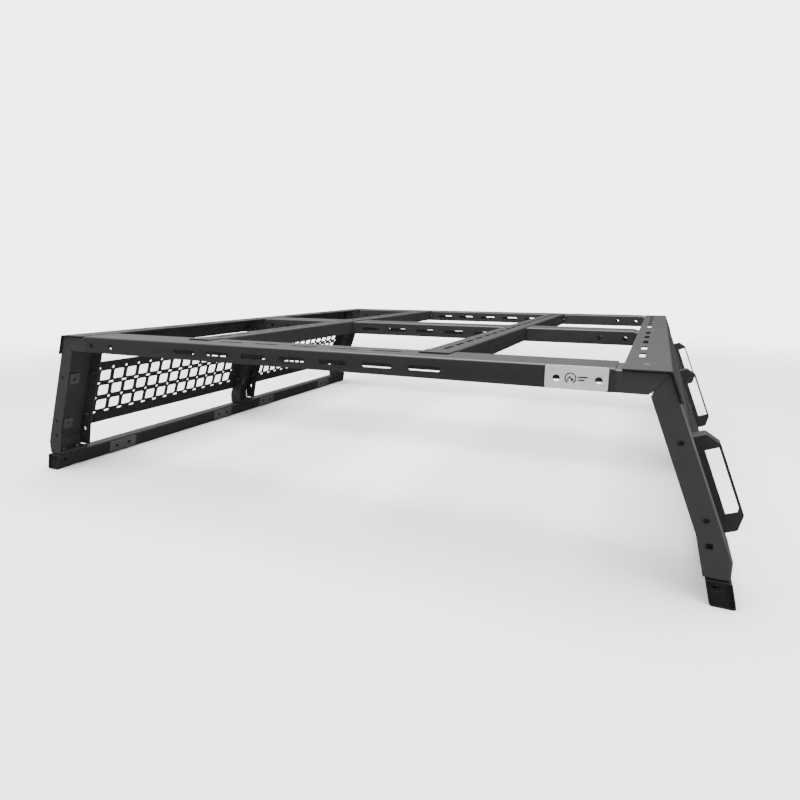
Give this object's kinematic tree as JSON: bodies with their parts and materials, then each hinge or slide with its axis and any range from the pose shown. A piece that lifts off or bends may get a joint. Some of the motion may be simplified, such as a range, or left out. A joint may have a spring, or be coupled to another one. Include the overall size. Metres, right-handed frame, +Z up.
{
  "type": "truck bed rack",
  "caption": "Low overland rack of folded sheet steel for a pickup bed: slotted deck beams on leaning side posts with pierced side panels and long base rails.",
  "frame": {"origin": "middle of the underside of the two base rails", "axes": "+X across the truck to the right, +Y along the bed away from the badge end, +Z up"},
  "size_m": [1.65, 1.547, 0.3745],
  "materials": {
    "frame_coat": "fine satin powder coat, near-black",
    "deck_coat": "fine satin powder coat, near-black",
    "panel_coat": "fine satin powder coat, near-black",
    "rail_coat": "fine satin powder coat, near-black",
    "bracket_coat": "fine satin powder coat, near-black",
    "brushed_badge": "brushed, with rounded corners",
    "plate_finish": "powder coat, a shade lighter",
    "fastener_finish": "blackened steel"
  },
  "bodies": {
    "root": {"beam_near": "frame_coat", "beam_middle": "frame_coat", "beam_far": "frame_coat", "post_near_left": "frame_coat", "post_near_right": "frame_coat", "post_middle_left": "frame_coat", "post_middle_right": "frame_coat", "post_far_left": "frame_coat", "post_far_right": "frame_coat", "side_rail_left": "deck_coat", "side_rail_right": "deck_coat", "base_rail_left": "rail_coat", "base_rail_right": "rail_coat", "end_plate_near_left": "rail_coat", "end_plate_near_right": "rail_coat", "end_plate_far_left": "rail_coat", "end_plate_far_right": "rail_coat", "bar_left": "deck_coat", "bar_right": "deck_coat", "panel_near_left": "panel_coat", "panel_near_right": "panel_coat", "panel_far_left": "panel_coat", "panel_far_right": "panel_coat", "bracket_near": "bracket_coat", "bracket_middle": "bracket_coat", "bracket_far": "bracket_coat", "badge_plate": "brushed_badge", "clamp_plate_left_1": "plate_finish", "clamp_plate_left_2": "plate_finish", "clamp_plate_left_3": "plate_finish", "clamp_plate_left_4": "plate_finish", "clamp_plate_right_1": "plate_finish", "clamp_plate_right_2": "plate_finish", "clamp_plate_right_3": "plate_finish", "clamp_plate_right_4": "plate_finish", "nut_plates_left": "plate_finish", "nut_plates_right": "plate_finish", "hole_plugs_left": "fastener_finish", "panel_bolts_near_left": "fastener_finish", "panel_bolts_near_right": "fastener_finish", "panel_bolts_far_left": "fastener_finish", "panel_bolts_far_right": "fastener_finish", "foot_bolts_left": "fastener_finish", "foot_bolts_right": "fastener_finish", "side_rail_screws_left": "fastener_finish", "side_rail_screws_right": "fastener_finish", "beam_screws_near": "fastener_finish", "beam_screws_middle": "fastener_finish", "beam_screws_far": "fastener_finish", "bar_screws_left": "fastener_finish", "bar_screws_right": "fastener_finish", "bracket_bolts_near": "fastener_finish", "bracket_bolts_middle": "fastener_finish", "bracket_bolts_far": "fastener_finish"}
  },
  "joints": []
}
